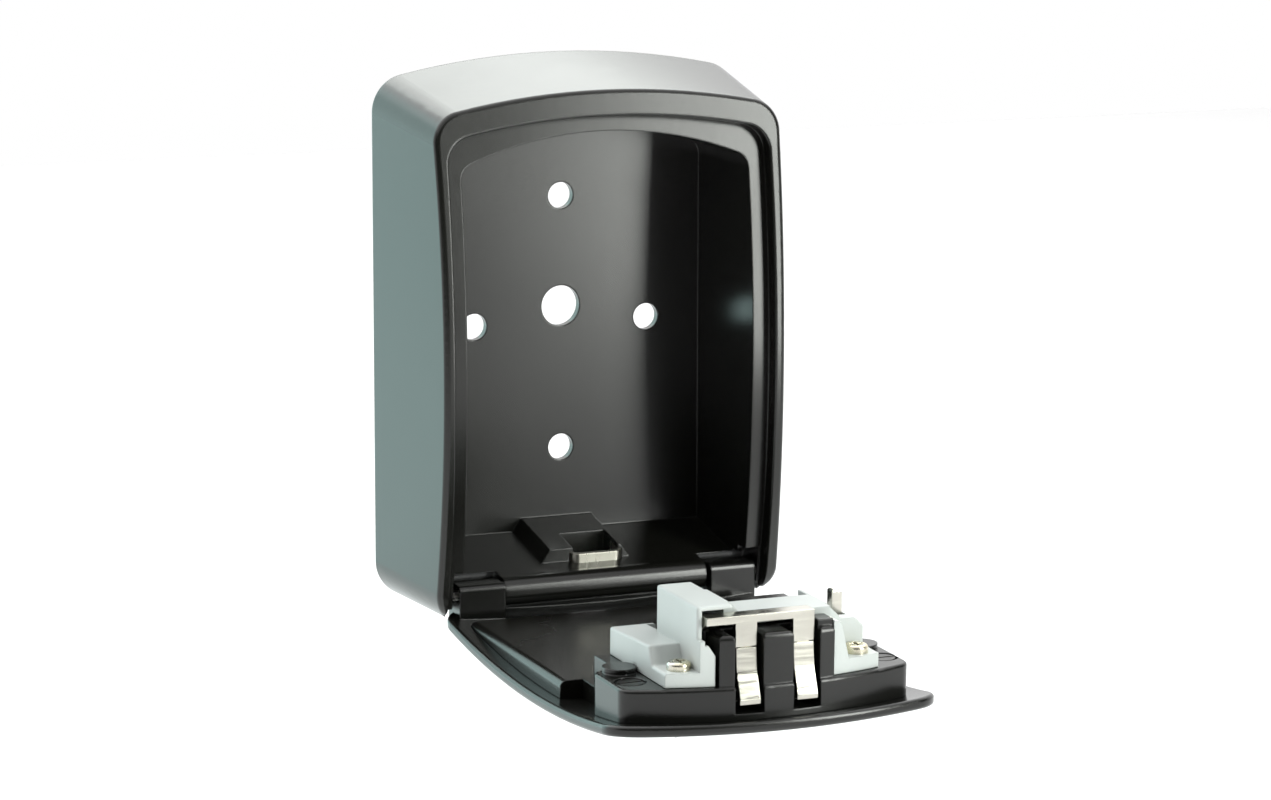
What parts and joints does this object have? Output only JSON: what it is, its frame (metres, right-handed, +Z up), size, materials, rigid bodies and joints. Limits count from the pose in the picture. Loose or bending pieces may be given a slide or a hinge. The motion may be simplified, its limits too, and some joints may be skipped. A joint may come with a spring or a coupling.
{
  "type": "key lock box",
  "caption": "Wall-mounted key lock box, door open: arched cast body, drop-down door with number dials, latches, thumb slide and shutter.",
  "frame": {"origin": "centre of the four wall holes, on the flat back plane", "axes": "+X to the right seen from the front, +Y into the wall, +Z up"},
  "size_m": [0.105, 0.1552, 0.1556],
  "materials": {
    "black_paint": "satin black paint on a zinc casting",
    "black_plastic": "fine-grained moulded",
    "grey_plastic": "fine-grained moulded, light grey",
    "steel": "bright nickel plate",
    "grey_metal": "satin",
    "dark_steel": "black oxide",
    "yellow_zinc": "plated"
  },
  "bodies": {
    "wall_body": {"body_shell": "black_paint", "hinge_pin": "steel", "tether_loop": "steel"},
    "door": {"door_shell": "black_paint", "door_liner": "black_plastic", "lock_case": "black_paint", "case_screws": "dark_steel", "mechanism_cover": "grey_plastic", "cover_screws": "yellow_zinc", "dial_axle": "steel", "detent_spring": "steel", "front_frame": "black_plastic"},
    "latch": {"latch_yoke": "steel", "latch_tip_left": "steel", "latch_tip_right": "steel", "thumb_slide": "grey_metal", "slide_rivets": "steel"},
    "dial_1": {"dial_ring_1": "grey_metal", "dial_hub_1": "yellow_zinc"},
    "dial_2": {"dial_ring_2": "grey_metal", "dial_hub_2": "yellow_zinc"},
    "dial_3": {"dial_ring_3": "grey_metal", "dial_hub_3": "yellow_zinc"},
    "dial_4": {"dial_ring_4": "grey_metal", "dial_hub_4": "yellow_zinc"},
    "dial_shutter": {"shutter": "black_plastic"},
    "code_lever": {"reset_lever": "steel"}
  },
  "joints": [
    {"name": "door_hinge", "type": "hinge", "parent": "wall_body", "child": "door", "pos_m": [0, -0.03, -0.0663], "axis": [1, 0, 0], "range_deg": [-91, 0]},
    {"name": "latch_slide", "type": "slide", "parent": "door", "child": "latch", "axis": [0, -0.9998, -0.0175], "range_m": [0, 0.003]},
    {"name": "dial_1_turn", "type": "hinge", "parent": "door", "child": "dial_1", "pos_m": [-0.0125, -0.13047, -0.0688], "axis": [1, 0, 0], "continuous": true},
    {"name": "dial_2_turn", "type": "hinge", "parent": "door", "child": "dial_2", "pos_m": [-0.0051, -0.13047, -0.0688], "axis": [1, 0, 0], "continuous": true},
    {"name": "dial_3_turn", "type": "hinge", "parent": "door", "child": "dial_3", "pos_m": [0.0023, -0.13047, -0.0688], "axis": [1, 0, 0], "continuous": true},
    {"name": "dial_4_turn", "type": "hinge", "parent": "door", "child": "dial_4", "pos_m": [0.0097, -0.13047, -0.0688], "axis": [1, 0, 0], "continuous": true},
    {"name": "shutter_slide", "type": "hinge", "parent": "door", "child": "dial_shutter", "pos_m": [0, -0.09507, 0.25801], "axis": [1, 0, 0], "range_deg": [0, 8.3]},
    {"name": "lever_slide", "type": "slide", "parent": "door", "child": "code_lever", "axis": [0, -0.9998, -0.0175], "range_m": [0, 0.004]}
  ]
}
